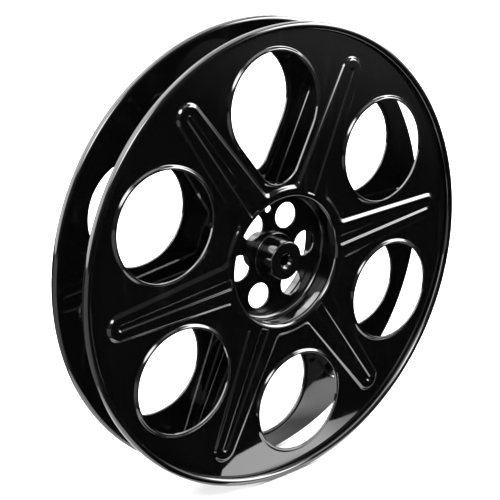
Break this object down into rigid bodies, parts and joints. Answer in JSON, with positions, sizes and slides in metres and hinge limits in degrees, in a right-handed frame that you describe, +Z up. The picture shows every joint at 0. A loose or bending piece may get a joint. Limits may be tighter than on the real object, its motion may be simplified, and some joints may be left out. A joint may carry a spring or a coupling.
{
  "type": "cinema film reel",
  "caption": "Pressed-steel cinema film reel: two star-embossed flanges with lipped holes and curled rims on a hollow core with a keyed spindle boss.",
  "frame": {"origin": "centre of the reel, on the spindle axis and midway between the two flanges", "axes": "+Y along the spindle axis from the front flange to the rear flange, +Z up with the reel standing on its rims, +X to the right seen from the front"},
  "size_m": [0.381, 0.0494, 0.381],
  "materials": {
    "black_enamel": "gloss"
  },
  "bodies": {
    "root": {"front_flange": "black_enamel", "rear_flange": "black_enamel", "core_drum": "black_enamel", "front_hub_cup": "black_enamel", "rear_hub_cup": "black_enamel", "spindle_boss": "black_enamel", "front_clamp_collar": "black_enamel", "rear_clamp_collar": "black_enamel"}
  },
  "joints": []
}
